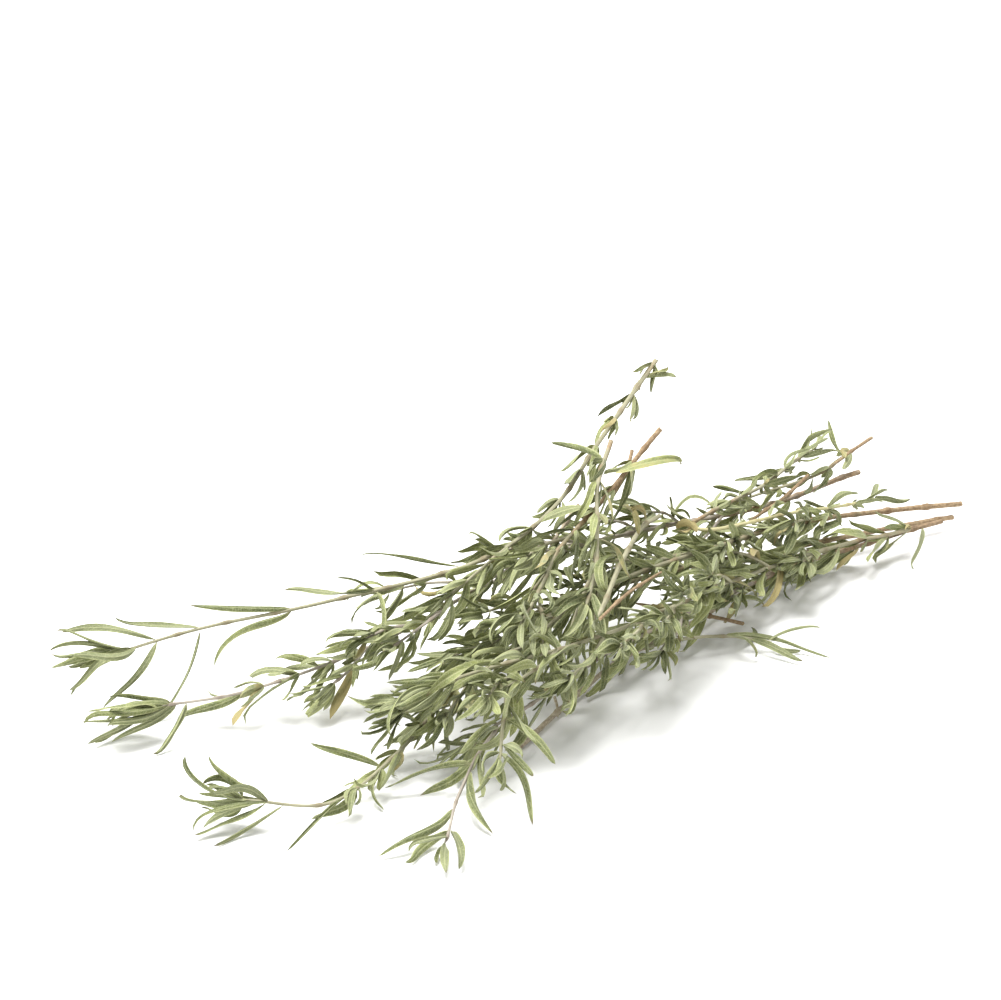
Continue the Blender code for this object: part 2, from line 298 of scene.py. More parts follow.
def stem_surface(plan):
    """A profile carried along the stem's line. Its radius is the straight taper, plus a swelling
    at each joint (a bell curve about 1 mm wide), times a wave round it that makes a young stem
    four-sided and an old one ridged. The cut end is closed by three shrinking rings."""
    line, along, joints = stem_line(plan)
    rng = np.random.default_rng(plan["seed"] + 100)
    wood = np.clip(plan["wood"] * 1.5 - along / along[-1] * 1.2, 0, 1) if plan["wood"] > 0 else (
        np.zeros(len(along)))
    radius = np.interp(along, [0, along[-1]], plan["radii"])
    bell = np.exp(-((along[:, None] - joints) / 0.9) ** 2)
    size = rng.uniform(0.22, 0.5, len(joints)) * (1 + 0.7 * (plan["wood"] > 1))
    radius = radius * (1 + (bell * size).sum(1))
    radius = radius * np.clip((along[-1] - along) / 2.0, 0.05, 1) ** 0.5
    turn = np.linspace(0, 2 * math.pi, STEM_SIDES, endpoint=False)
    drift = rng.uniform(0, 6.28) + np.cumsum(rng.normal(0, 0.03, len(along)))
    young = 0.09 * (1 - wood)[:, None] * np.cos(4 * (turn - drift[:, None]))
    ridged = 0.05 * np.cos(7 * turn + 3 * drift[:, None]) + 0.04 * rng.normal(
        0, 1, (len(along), STEM_SIDES))
    around = 1 + young + wood[:, None] * ridged
    ahead = unit(np.gradient(line, axis=0))
    side = unit(np.cross(ahead, [0, 0, 1.0]))
    over = np.cross(side, ahead)
    spokes = np.cos(turn)[:, None] * side[:, None] + np.sin(turn)[:, None] * over[:, None]
    rings = line[:, None] + (radius[:, None] * around)[..., None] * spokes
    tilt = rng.uniform(-0.35, 0.35, STEM_SIDES) * 0.35
    rings[0] += ahead[0] * tilt[:, None]
    caps = [line[0] + (rings[0] - line[0]) * share + ahead[0] * sink
            for share, sink in ((0.02, 0.10), (0.35, 0.12), (0.82, 0.03))]
    point = line[-1] + 0.3 * (rings[-1:] - line[-1]) + 0.1 * ahead[-1]
    grid = np.concatenate([np.stack(caps), rings, point])
    rows = len(grid)
    joint_mask = np.clip(bell.sum(1), 0, 1)
    mark = np.zeros((rows, STEM_SIDES, 3))
    mark[3:-1, :, 0] = wood[:, None]
    mark[:3, :, 0] = 1
    mark[:3, :, 1] = 1
    mark[3:-1, :, 2] = joint_mask[:, None]
    grain = np.zeros((rows, STEM_SIDES, 3))
    grain[..., 0] = np.cos(turn)
    grain[..., 1] = np.sin(turn)
    grain[3:-1, :, 2] = along[:, None]
    grain[-1, :, 2] = along[-1]
    return grid, grain, mark


def mottle_group():
    """Dry mottle: soft noise at a given scale, stretched to full contrast, and its height."""
    group = bpy.data.node_groups.new("dry_mottle", "ShaderNodeTree")
    group.interface.new_socket("Vector", in_out="INPUT", socket_type="NodeSocketVector")
    group.interface.new_socket("Scale", in_out="INPUT", socket_type="NodeSocketFloat")
    group.interface.new_socket("Sharpness", in_out="INPUT", socket_type="NodeSocketFloat")
    group.interface.new_socket("Mask", in_out="OUTPUT", socket_type="NodeSocketFloat")
    group.interface.new_socket("Height", in_out="OUTPUT", socket_type="NodeSocketFloat")
    enter = group.nodes.new("NodeGroupInput")
    leave = group.nodes.new("NodeGroupOutput")
    noise = add_node(group, "TexNoise", {"Vector": enter.outputs["Vector"],
                                         "Scale": enter.outputs["Scale"], "Detail": 4.0,
                                         "Roughness": 0.6})
    spread = sums(group, "MULTIPLY_ADD",
                  sums(group, "SUBTRACT", noise.outputs["Fac"], 0.5), enter.outputs["Sharpness"],
                  0.5)
    clipped = add_node(group, "Clamp", {0: spread}).outputs[0]
    group.links.new(clipped, leave.inputs["Mask"])
    group.links.new(noise.outputs["Fac"], leave.inputs["Height"])
    return group


MOTTLE = mottle_group()


def mottle(tree, vector, scale, sharpness):
    """One use of the dry mottle, with its own scale."""
    node = tree.nodes.new("ShaderNodeGroup")
    node.node_tree = MOTTLE
    tree.links.new(vector, node.inputs["Vector"])
    node.inputs["Scale"].default_value = scale
    node.inputs["Sharpness"].default_value = sharpness
    return node.outputs["Mask"], node.outputs["Height"]


def stem_finish(name, young_dark, young_light, wood_dark, wood_light):
    """Young skin that runs into brown bark. Fine threads run along the stem, flakes and pores
    spot the bark, joints are darker, and the cut end shows pale, flecked wood."""
    mat, tree, shader = new_finish(name)
    grain = add_node(tree, "Attribute", attribute_name="stem_grain").outputs["Vector"]
    mark = add_node(tree, "SeparateXYZ", {0: add_node(tree, "Attribute",
                                                      attribute_name="stem_mark").outputs[1]})
    place = add_node(tree, "TexCoord").outputs["Object"]
    threads_at = add_node(tree, "Mapping", {0: grain, "Scale": (5.0, 5.0, 0.35)}).outputs[0]
    threads, threads_height = mottle(tree, threads_at, 1.0, 3.0)
    patch, _ = mottle(tree, place, 260.0, 3.2)
    flakes, flakes_height = mottle(tree, place, 1500.0, 5.0)
    young = blend_colours(tree, sums(tree, "MULTIPLY_ADD", threads, 0.55,
                                     sums(tree, "MULTIPLY", patch, 0.45)), young_dark, young_light)
    bark = blend_colours(tree, sums(tree, "MULTIPLY_ADD", threads, 0.5,
                                    sums(tree, "MULTIPLY", flakes, 0.5)), wood_dark, wood_light)
    aged = sums(tree, "ADD", mark.outputs[0], sums(tree, "MULTIPLY_ADD", patch, 0.5, -0.25))
    colour = blend_colours(tree, ramp(tree, aged, 0.2, 0.75), young, bark)
    colour = blend_colours(tree, sums(tree, "MULTIPLY", mark.outputs[2], 0.45), colour,
                           wood_dark)
    radial = add_node(tree, "VectorMath", {0: grain}, operation="LENGTH").outputs["Value"]
    end_wood = blend_colours(tree, flakes, (0.50, 0.36, 0.20, 1), (0.66, 0.54, 0.36, 1))
    colour = blend_colours(tree, mark.outputs[1], colour, end_wood)
    tree.links.new(colour, shader.inputs["Base Color"])
    rough = sums(tree, "MULTIPLY_ADD", flakes, 0.2, 0.68)
    tree.links.new(rough, shader.inputs["Roughness"])
    height = sums(tree, "MULTIPLY_ADD", threads_height, 0.7,
                  sums(tree, "MULTIPLY", flakes_height, 0.5))
    bump = add_node(tree, "Bump", {"Height": height, "Strength": 0.7, "Distance": 0.00018})
    tree.links.new(bump.outputs[0], shader.inputs["Normal"])
    shader.inputs["Specular IOR Level"].default_value = 0.3
    return mat


FIELD_STEM = stem_finish("field_stem", (0.21, 0.20, 0.12, 1), (0.44, 0.42, 0.29, 1),
                         (0.16, 0.10, 0.05, 1), (0.46, 0.34, 0.21, 1))
PURPLE_STEM = stem_finish("purple_grey_stem", (0.25, 0.21, 0.18, 1), (0.50, 0.46, 0.38, 1),
                          (0.15, 0.10, 0.06, 1), (0.42, 0.30, 0.18, 1))
STRAW_STEM = stem_finish("straw_stem", (0.38, 0.35, 0.17, 1), (0.60, 0.56, 0.33, 1),
                         (0.30, 0.22, 0.10, 1), (0.60, 0.48, 0.28, 1))
PALE_WOOD = stem_finish("weathered_wood", (0.34, 0.31, 0.22, 1), (0.58, 0.53, 0.40, 1),
                        (0.27, 0.21, 0.14, 1), (0.60, 0.53, 0.40, 1))
PURPLE = {"front_sprig", "left_sprig"}


def stem_piece(name, plans, finish):
    """One piece made of closed stems, each skinned between its rings and shut at both ends."""
    verts, grains, marks, faces = [], [], [], []
    first = 0
    for plan in plans:
        grid, grain, mark = stem_surface(plan)
        last = first + (len(grid) - 1) * STEM_SIDES
        faces += lattice(len(grid), STEM_SIDES, first).tolist()
        faces.append([first + j for j in range(STEM_SIDES)])
        faces.append([last + j for j in reversed(range(STEM_SIDES))])
        verts.append(grid.reshape(-1, 3))
        grains.append(grain.reshape(-1, 3))
        marks.append(mark.reshape(-1, 3))
        first = last + STEM_SIDES
    piece = put_mesh(name, np.concatenate(verts), faces, [finish],
                     {"stem_grain": np.concatenate(grains), "stem_mark": np.concatenate(marks)})
    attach(piece, "root")
    return piece


def make_stem(name, plan):
    """One finished stem, which stands for the solid stem of the same name."""
    finish = (STRAW_STEM if plan["wood"] < 0 else PURPLE_STEM if name in PURPLE
              else PALE_WOOD if name == "bare_woody_sprig" else FIELD_STEM)
    stem = stem_piece(f"{name}_stem_skin", [plan], finish)
    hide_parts(f"{name}_stem")


for name, plan in STEMS.items():
    make_stem(name, plan)

# ---------------------------------------------------------------------------------------------
# The side shoots: thin young twigs that branch off the sprigs in the thick middle of the pile.
# Each grew from a leaf joint, bends forward beside its stem, and lies where there is room.
# ---------------------------------------------------------------------------------------------
CROWD_SIZE = 60000
NEAR = 4
OUTSIDE = 9.0
CLEAR = 0.05
SHOOT_TRIES = 30
SHOOT_REACH = (12.0, 24.0)
SHOOT_OPENING = (12, 28)
SHOOT_RADII = (0.36, 0.24)
SHOOT_LOWEST = 1.4
SHOOT_ROOM = 0.35
CAD_LOW = np.array(cad_box[0]) / MM + MIDDLE
CAD_HIGH = np.array(cad_box[1]) / MM + MIDDLE

# For each sprig, how far back from its growing tip each shoot leaves it.
SHOOT_PLACES = {
    "back_long_sprig": (84,), "left_sprig": (44, 56, 66, 76, 86, 94, 102, 110, 118, 130, 144),
    "front_left_sprig": (56, 66, 76, 86, 94, 102, 110, 120, 134, 150),
    "front_sprig": (46, 100, 112, 126, 142, 158),
    "middle_sprig": (26, 38, 50, 60, 70, 80, 88, 96, 108, 122, 138),
    "front_middle_sprig": (14, 26, 38, 50, 62, 74, 88, 104, 122),
    "upright_sprig": (12, 22), "crossing_sprig": (12, 22, 32),
}


class Crowd:
    """What is already in place, as points with a radius each, so that a new leaf finds room."""

    def __init__(self):
        self.points = np.zeros((CROWD_SIZE, 3))
        self.radii = np.zeros(CROWD_SIZE)
        self.used = 0

    def add(self, points, radius):
        end = self.used + len(points)
        self.points[self.used:end] = points
        self.radii[self.used:end] = radius
        self.used = end

    def room(self, lines, half):
        """The smallest gap between each line and everything near it, in millimetres."""
        low = lines.min((0, 1)) - NEAR
        high = lines.max((0, 1)) + NEAR
        pts = self.points[:self.used]
        near = ((pts > low) & (pts < high)).all(1)
        if not near.any():
            return np.full(len(lines), OUTSIDE)
        pts, radii = pts[near], self.radii[:self.used][near]
        gap = np.linalg.norm(lines[:, :, None] - pts, axis=-1) - radii - half
        return gap.min((1, 2))


crowd = Crowd()
stem_lines = {}
for name, plan in STEMS.items():
    line, along, joints = stem_line(plan)
    stem_lines[name] = (line[::-1], (along[-1] - along)[::-1], plan["radii"][::-1])
    crowd.add(line, np.interp(along, [0, along[-1]], plan["radii"]))


def stem_spot(name, back):
    """A point on a stem at a distance back from its tip, its growing direction and radius."""
    line, from_tip, radii = stem_lines[name]
    spot = np.array([np.interp(back, from_tip, line[:, k]) for k in range(3)])
    ahead = np.array([np.interp(max(back - 1.5, 0), from_tip, line[:, k]) for k in range(3)])
    behind = np.array([np.interp(back + 1.5, from_tip, line[:, k]) for k in range(3)])
    return spot, unit(ahead - behind), float(np.interp(back, [0, from_tip[-1]], radii))


def settle_shoots():
    """Side shoots: thin young stems that leave a main stem at a slant and curve forward, each
    a route of three stops, laid where there is room. They carry leaves like a stem of their
    own, and are kept by the name of the sprig that bears them."""
    rng = np.random.default_rng(77)
    shoots = {}
    for name, places in SHOOT_PLACES.items():
        shoots[name] = []
        for number, back in enumerate(places):
            spot, growing, radius = stem_spot(name, back)
            side = unit(np.cross(growing, [0, 0, 1.0]))
            over = np.cross(side, growing)
            best_gap = -OUTSIDE
            for _ in range(SHOOT_TRIES):
                angle = rng.uniform(0, 2 * math.pi)
                opening = math.radians(rng.uniform(*SHOOT_OPENING))
                outward = math.cos(angle) * side + math.sin(angle) * over
                heading = math.cos(opening) * growing + math.sin(opening) * outward
                reach = rng.uniform(*SHOOT_REACH)
                foot = spot + outward * radius * 0.5
                middle = foot + heading * reach * 0.5
                end = middle + unit(heading + 0.8 * growing + [0, 0, -0.08]) * reach * 0.5
                end[2] = max(end[2], SHOOT_LOWEST + 0.2)
                middle[2] = max(middle[2], SHOOT_LOWEST)
                line, _ = smooth_route([foot, middle, end], 1.0)
                gap = crowd.room(line[None, 3:], 0.5)[0]
                gap -= OUTSIDE * bool(((end < CAD_LOW) | (end > CAD_HIGH)).any())
                if gap > best_gap:
                    best_gap = gap
                    best = [foot, middle, end]
                if gap > 1.0:
                    break
            if best_gap < CLEAR:
                continue
            key = f"{name}_shoot_{number + 1}"
            plan = dict(route=best, radii=SHOOT_RADII, wood=0.05, seed=200 + len(stem_lines))
            line, along, _ = stem_line(plan)
            stem_lines[key] = (line[::-1], (along[-1] - along)[::-1], plan["radii"][::-1])
            crowd.add(line, SHOOT_ROOM)
            shoots[name].append((key, plan, along[-1]))
    return shoots


SHOOTS = settle_shoots()
for name, shoots in SHOOTS.items():
    if shoots:
        stem_piece(f"{name}_side_shoots", [plan for _, plan, _ in shoots],
                   PURPLE_STEM if name in PURPLE else FIELD_STEM)

# ---------------------------------------------------------------------------------------------
# The leaves at the spread-out tips. A leaf is a narrow blade, folded along its rib, with rolled
# pale margins and a fuzzy grey-green face. It grows straight from the stem, in pairs with
# smaller leaflets beside them, and a tuft of them closes each growing tip.
# ---------------------------------------------------------------------------------------------
LEAF_WIDTH = 2.05
LEAF_THICK = 0.30
LOWEST = 0.3
FINE_TOP = np.array([-1, -0.62, -0.25, 0, 0.25, 0.62, 1.0])
FINE_UNDER = np.array([0.55, 0, -0.55])
PLAIN_TOP = np.array([-1, -0.5, 0, 0.5, 1.0])
PLAIN_UNDER = np.array([0.5, 0, -0.5])
FINE_ROWS = 15
PLAIN_ROWS = 9
TABLE_CLEAR = 0.7
STRAY = 1.5
TRIES = 22
TUFT_DEPTH = 5.0
LEAF_ROOM = 0.34
PRESSED = 0.25


def leaf_frames(leaves, rows):
    """The middle lines of many leaves at once, and the three directions of a blade along each.
    A heading turns evenly along the leaf (bend), faster near its tip (hook) and from side to
    side (sway). The run of those headings is then turned and scaled to go from foot to tip."""
    t = np.linspace(0, 1, rows)

    def angles(t):
        up = leaves["bend"][:, None] * (t - 0.4) + leaves["hook"][:, None] * np.clip(
            (t - 0.68) / 0.32, 0, 1) ** 2
        across = leaves["sway"][:, None] * np.sin(4.2 * t + leaves["phase"][:, None])
        return up, across

    def heading(t):
        up, across = angles(t)
        return np.stack([np.cos(up) * np.cos(across), np.sin(across),
                         np.sin(up) * np.cos(across)], axis=-1)

    halfway = (t[1:] + t[:-1]) / 2
    run = np.concatenate([np.zeros((len(leaves["bend"]), 1, 3)),
                          np.cumsum(heading(halfway[None]), axis=1) / (rows - 1)], axis=1)
    chord = run[:, -1]
    local_x = unit(chord)
    local_z = np.array([0, 0, 1.0]) - local_x[:, 2:] * local_x
    local_z = unit(local_z)
    local = np.stack([local_x, np.cross(local_z, local_x), local_z], axis=1)
    reach = leaves["tip"] - leaves["foot"]
    world_x = unit(reach)
    face = leaves["facing"] - (leaves["facing"] * world_x).sum(-1, keepdims=True) * world_x
    world_z = unit(face)
    world = np.stack([world_x, np.cross(world_z, world_x), world_z], axis=1)
    turn = np.einsum("nki,nkj->nij", world, local)
    scale = (np.linalg.norm(reach, axis=-1) / np.linalg.norm(chord, axis=-1))[:, None, None]
    line = leaves["foot"][:, None] + scale * np.einsum("nij,nrj->nri", turn, run)
    up, across = angles(t[None])
    ahead = heading(t[None])
    side = np.stack([-np.cos(up) * np.sin(across), np.cos(across),
                     -np.sin(up) * np.sin(across)], axis=-1)
    above = np.cross(ahead, side)
    roll = (leaves["roll"][:, None] + leaves["twist"][:, None] * (t - 0.25))[..., None]
    side, above = (np.cos(roll) * side + np.sin(roll) * above,
                   np.cos(roll) * above - np.sin(roll) * side)
    side = np.einsum("nij,nrj->nri", turn, side)
    above = np.einsum("nij,nrj->nri", turn, above)
    line[..., 2] = np.maximum(line[..., 2], LOWEST)
    return line, side, above, t


def blade_surface(leaves, rows, top, under):
    """A closed blade: half-width along the leaf is the square root of the sine of pi times
    distance to the power 0.85, nearly parallel for most of it. Each half lifts away from the
    rib as a soft V whose margin rolls back. The thin lower face follows it, with a raised rib."""
    line, side, above, t = leaf_frames(leaves, rows)
    count = len(line)
    inner = t[1:-1]
    shape = np.sin(math.pi * inner ** 0.85) ** 0.5
    half = 0.5 * leaves["width"][:, None] * np.maximum(shape, 0.10)
    v = np.concatenate([top, under])
    is_under = np.concatenate([np.zeros(len(top)), np.ones(len(under))])
    is_under[[0, len(top) - 1]] = 0.5
    fold = (leaves["fold"][:, None] * (0.75 + 0.5 * np.sin(2.5 * inner + leaves["phase"][:, None]))
            )[..., None]
    ripple = leaves["wave"][:, None, None] * np.sin(
        9.0 * inner[None, :, None] + leaves["phase"][:, None, None] + 1.7 * np.sign(v)) * np.abs(v)
    lateral = half[..., None] * v * np.cos(fold * np.abs(v))
    lift = half[..., None] * (np.sin(fold) * np.abs(v) ** 1.3
                              - leaves["margin"][:, None, None] * np.abs(v) ** 5 + ripple)
    thick = LEAF_THICK * (1 - 0.55 * np.abs(v)) * (0.45 + 0.55 * np.sin(math.pi * inner))[:, None]
    sink = np.where(is_under == 1, -0.5 * thick, np.where(is_under == 0, 0.5 * thick, 0))
    rib = np.where(v == 0, np.where(is_under == 1, -0.10, -0.05), 0.0)
    mid = line[:, 1:-1, None]
    points = (mid + lateral[..., None] * side[:, 1:-1, None]
              + (lift + sink + rib)[..., None] * above[:, 1:-1, None])
    points[..., 2] = np.maximum(points[..., 2], 0.12)
    cols = len(v)
    verts = np.concatenate([points.reshape(count, -1, 3), line[:, :1], line[:, -1:]], axis=1)
    place = np.zeros((rows - 2, cols, 3))
    place[..., 0] = inner[:, None]
    place[..., 1] = v
    place[..., 2] = is_under
    ends = np.array([[0, 0, 0.5], [1, 0, 0.5]])
    place = np.broadcast_to(np.concatenate([place.reshape(-1, 3), ends]), verts.shape)
    nature = np.broadcast_to(leaves["nature"][:, None], verts.shape)
    return verts, place, nature


def blade_faces(count, rows, cols):
    """Faces of many closed blades: the wall of each, and a fan of triangles at both ends."""
    inner = rows - 2
    wall = lattice(inner, cols, 0)
    j = np.arange(cols)
    k = (j + 1) % cols
    foot = np.stack([np.full(cols, inner * cols), j, k], axis=-1)
    last = (inner - 1) * cols
    tip = np.stack([np.full(cols, inner * cols + 1), last + k, last + j], axis=-1)
    size = inner * cols + 2
    step = (np.arange(count) * size)[:, None, None]
    quads = (wall[None] + step).reshape(-1, 4).tolist()
    fans = (np.concatenate([foot, tip])[None] + step).reshape(-1, 3).tolist()
    return quads + fans


def new_leaf(rng, foot, tip, growing, width, liveliness=1.0):
    """One leaf's own numbers: where it runs, how it curls and twists, and its tone."""
    facing = growing + rng.normal(0, 0.25, 3)
    length = np.linalg.norm(tip - foot)
    return dict(foot=foot, tip=tip, facing=facing,
                bend=rng.normal(-0.3, 0.7) * liveliness,
                hook=rng.normal(-0.2, 0.7) * liveliness,
                sway=rng.normal(0, 0.24) * liveliness, phase=rng.uniform(0, 6.28),
                roll=rng.normal(0, 0.4), twist=rng.normal(0, 1.3) * liveliness,
                width=width * rng.uniform(0.8, 1.15) * min(1.0, 0.45 + length / 22),
                fold=rng.uniform(0.3, 1.15), margin=rng.uniform(0.05, 0.4),
                wave=rng.uniform(0.03, 0.22),
                nature=np.array([rng.uniform(0, 1), max(0.0, rng.normal(-0.15, 0.35)),
                                 rng.uniform(0, 1)]))


def together(leaves):
    """A list of leaves as one array for each of their numbers."""
    return {key: np.array([leaf[key] for leaf in leaves], float) for key in leaves[0]}


def settle(options):
    """Keep the first of several ways for a leaf to lie that has room, or the roomiest."""
    batch = together(options)
    lines = leaf_frames(batch, PLAIN_ROWS)[0]
    half = LEAF_ROOM * options[0]["width"]
    gap = crowd.room(lines[:, 2:], half)
    tips = batch["tip"]
    outside = ((tips < CAD_LOW - STRAY) | (tips > CAD_HIGH + STRAY)).any(1)
    gap = gap - 5.0 * outside
    clear = np.flatnonzero(gap > CLEAR)
    best = clear[0] if len(clear) else int(gap.argmax())
    if gap[best] < -PRESSED:
        return None
    crowd.add(lines[best, 2:], half)
    return options[best]


def fresh(leaf, rng):
    """The leaves at the tips are the youngest: deep green, rolled under, never yellowed."""
    leaf["nature"] = np.array([rng.uniform(0.0, 0.45), 0.0, leaf["nature"][2]])
    leaf["fold"] = rng.uniform(-0.5, 1.2)
    leaf["margin"] = rng.uniform(0.35, 0.75)


def long_leaves(name, plan, rng):
    """The leaves that stand clear, each from its joint on the stem to its own tip."""
    leaves = []
    for back, tip, arch in plan["long"]:
        spot, growing, radius = stem_spot(name, back)
        tip = np.array(tip, float)
        outward = tip - spot
        outward = unit(outward - outward @ growing * growing)
        leaf = new_leaf(rng, spot + outward * radius * 0.6, tip, growing, LEAF_WIDTH * 0.88, 0.9)
        leaf["bend"] = -4.0 * arch * (1 if leaf["facing"][2] > -0.2 else -1) + rng.normal(0, 0.3)
        fresh(leaf, rng)
        leaves.append(leaf)
        crowd.add(leaf_frames(together([leaf]), PLAIN_ROWS)[0][0, 2:], 0.5)
    return leaves


def side_leaves(name, plan, rng):
    """Pairs of leaves at each joint, each pair a quarter turn on from the last, with a few
    small leaflets in their angles."""
    start, end, spacing, length = plan["pairs"]
    leaves = []
    backs = np.arange(start, end, spacing)
    for number, back in enumerate(backs):
        back = back + rng.uniform(-1.5, 1.5)
        spot, growing, radius = stem_spot(name, back)
        side = unit(np.cross(growing, [0, 0, 1.0]))
        over = np.cross(side, growing)
        base = number * math.pi / 2 + rng.uniform(-0.4, 0.4)
        wanted = [(base, 1.0, 27), (base + math.pi, 1.0, 27)]
        for _ in range(int(rng.integers(*plan.get("leaflets", (2, 5))))):
            wanted.append((base + rng.choice([0, math.pi]) + rng.uniform(-0.9, 0.9),
                           rng.uniform(0.35, 0.7), 24))
        for turn, share, opening in wanted:
            options = []
            for attempt in range(TRIES):
                loose = attempt / TRIES
                angle = turn + rng.normal(0, 0.15 + 1.2 * loose)
                open_angle = math.radians(opening * rng.uniform(0.55, 1.15 + 0.5 * loose))
                outward = math.cos(angle) * side + math.sin(angle) * over
                heading = math.cos(open_angle) * growing + math.sin(open_angle) * outward
                size = length * share * rng.uniform(0.75, 1.15) * (1 - 0.35 * loose)
                foot = spot + outward * radius * 0.6
                tip = foot + heading * size
                tip[2] = max(tip[2] - rng.uniform(0, 1.5), TABLE_CLEAR)
                options.append(new_leaf(rng, foot, tip, growing, LEAF_WIDTH, 1.2))
            leaf = settle(options)
            if leaf:
                leaves.append(leaf)
    return leaves


def tuft_leaves(name, plan, rng):
    """The leaves that close a growing tip: short ones round the bud, longer ones outside."""
    count, length, spread = plan["tuft"]
    spot, growing, radius = stem_spot(name, 0.3)
    side = unit(np.cross(growing, [0, 0, 1.0]))
    over = np.cross(side, growing)
    leaves = []
    for k in range(count):
        turn = 2.4 * k + rng.uniform(-0.3, 0.3)
        inner = k % 3 == 2
        options = []
        for attempt in range(TRIES):
            loose = attempt / TRIES
            angle = turn + rng.normal(0, 0.1 + loose)
            opening = math.radians(spread * rng.uniform(0.6, 1.25) * (0.4 if inner else 1.0)
                                   * (1 + 0.6 * loose))
            outward = math.cos(angle) * side + math.sin(angle) * over
            heading = math.cos(opening) * growing + math.sin(opening) * outward
            size = length * rng.uniform(0.72, 1.05) * (0.6 if inner else 1.0)
            foot = spot + outward * radius * 0.5 - growing * (
                0 if inner else TUFT_DEPTH * rng.uniform(0, 1))
            tip = foot + heading * size
            tip[2] = max(tip[2], TABLE_CLEAR)
            options.append(new_leaf(rng, foot, tip, growing, LEAF_WIDTH * 0.85, 0.9))
        leaf = settle(options)
        if leaf:
            fresh(leaf, rng)
            leaves.append(leaf)
    return leaves


def leaf_finish(name, deep, light):
    """Dry leaf skin: grey-green mottled over the blade, paler and fuzzy beneath, with a pale
    rib, pale rolled margins, faint slanting veins, tiny pale glands and now and then a
    yellowed or browned blade."""
    mat, tree, shader = new_finish(name)
    place = add_node(tree, "SeparateXYZ", {0: add_node(
        tree, "Attribute", attribute_name="leaf_place").outputs[1]})
    nature = add_node(tree, "SeparateXYZ", {0: add_node(
        tree, "Attribute", attribute_name="leaf_nature").outputs[1]})
    along, across, under = place.outputs
    tone, age, chance = nature.outputs
    spot = add_node(tree, "TexCoord").outputs["Object"]
    cloud, cloud_height = mottle(tree, spot, 420.0, 3.0)
    gland, gland_height = mottle(tree, spot, 4200.0, 5.0)
    out = add_node(tree, "Math", {0: across}, operation="ABSOLUTE").outputs[0]
    amount = sums(tree, "MULTIPLY_ADD", tone, 0.6, sums(tree, "MULTIPLY", cloud, 0.4))
    colour = blend_colours(tree, amount, deep, light)
    beneath = ramp(tree, under, 0.55, 0.95)
    colour = blend_colours(tree, sums(tree, "MULTIPLY", beneath, 0.55), colour,
                           (0.28, 0.30, 0.16, 1))
    colour = blend_colours(tree, sums(tree, "MULTIPLY", ramp(tree, gland, 0.55, 0.95), 0.35),
                           colour, (0.50, 0.52, 0.34, 1))
    slant = sums(tree, "MULTIPLY_ADD", out, -7.0, sums(tree, "MULTIPLY", along, 70.0))
    vein = ramp(tree, add_node(tree, "Math", {0: slant}, operation="SINE").outputs[0], 0.6, 1.0)
    colour = blend_colours(tree, sums(tree, "MULTIPLY", vein, 0.16), colour,
                           (0.42, 0.44, 0.24, 1))
    rib = ramp(tree, out, 0.03, 0.16, 1.0, 0.0)
    colour = blend_colours(tree, sums(tree, "MULTIPLY", rib, 0.5), colour, (0.44, 0.45, 0.24, 1))
    margin = ramp(tree, out, 0.72, 0.98)
    colour = blend_colours(tree, sums(tree, "MULTIPLY", margin, 0.6), colour,
                           (0.50, 0.52, 0.27, 1))
    # Painted shade: the bands either side of the rib, where the fold's furrows lie in shade, are
    # darkened a little towards the deep green.
    furrow_shade = sums(tree, "MULTIPLY", ramp(tree, out, 0.12, 0.3),
                  ramp(tree, out, 0.3, 0.62, 1.0, 0.0))
    colour = blend_colours(tree, sums(tree, "MULTIPLY", furrow_shade, 0.22), colour, deep)
    aged = ramp(tree, sums(tree, "MULTIPLY_ADD", cloud, 0.35, age), 0.45, 0.95)
    colour = blend_colours(tree, aged, colour, (0.36, 0.30, 0.13, 1))
    burnt = sums(tree, "MULTIPLY", ramp(tree, along, 0.9, 1.0), ramp(tree, chance, 0.5, 0.8))
    colour = blend_colours(tree, burnt, colour, (0.13, 0.09, 0.04, 1))
    foot = ramp(tree, along, 0.0, 0.12, 0.5, 0.0)
    colour = blend_colours(tree, foot, colour, (0.48, 0.46, 0.26, 1))
    tree.links.new(colour, shader.inputs["Base Color"])
    tree.links.new(sums(tree, "MULTIPLY_ADD", gland, 0.2, 0.62), shader.inputs["Roughness"])
    relief = sums(tree, "MULTIPLY_ADD", vein, -0.25, sums(tree, "MULTIPLY", gland_height, 0.5))
    relief = sums(tree, "ADD", relief, sums(tree, "MULTIPLY", cloud_height, 1.6))
    relief = sums(tree, "ADD", relief, sums(tree, "MULTIPLY", rib, -0.35))
    bump = add_node(tree, "Bump", {"Height": relief, "Strength": 0.75, "Distance": 0.00018})
    tree.links.new(bump.outputs[0], shader.inputs["Normal"])
    shader.inputs["Specular IOR Level"].default_value = 0.35
    shader.inputs["Sheen Weight"].default_value = 0.15
    return mat


SAGE_LEAF = leaf_finish("sage_leaf", (0.055, 0.074, 0.019, 1), (0.30, 0.325, 0.105, 1))


def leaf_piece(name, leaves, fine, nodes):
    """Put a list of leaves into one piece, which stands for the solid leaves named."""
    rows, top, under = ((FINE_ROWS, FINE_TOP, FINE_UNDER) if fine
                        else (PLAIN_ROWS, PLAIN_TOP, PLAIN_UNDER))
    verts, place, nature = blade_surface(together(leaves), rows, top, under)
    faces = blade_faces(len(leaves), rows, len(top) + len(under))
    piece = put_mesh(name, verts.reshape(-1, 3), faces, [SAGE_LEAF],
                     {"leaf_place": place.reshape(-1, 3), "leaf_nature": nature.reshape(-1, 3)})
    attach(piece, "root")
    if nodes:
        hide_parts(*nodes)


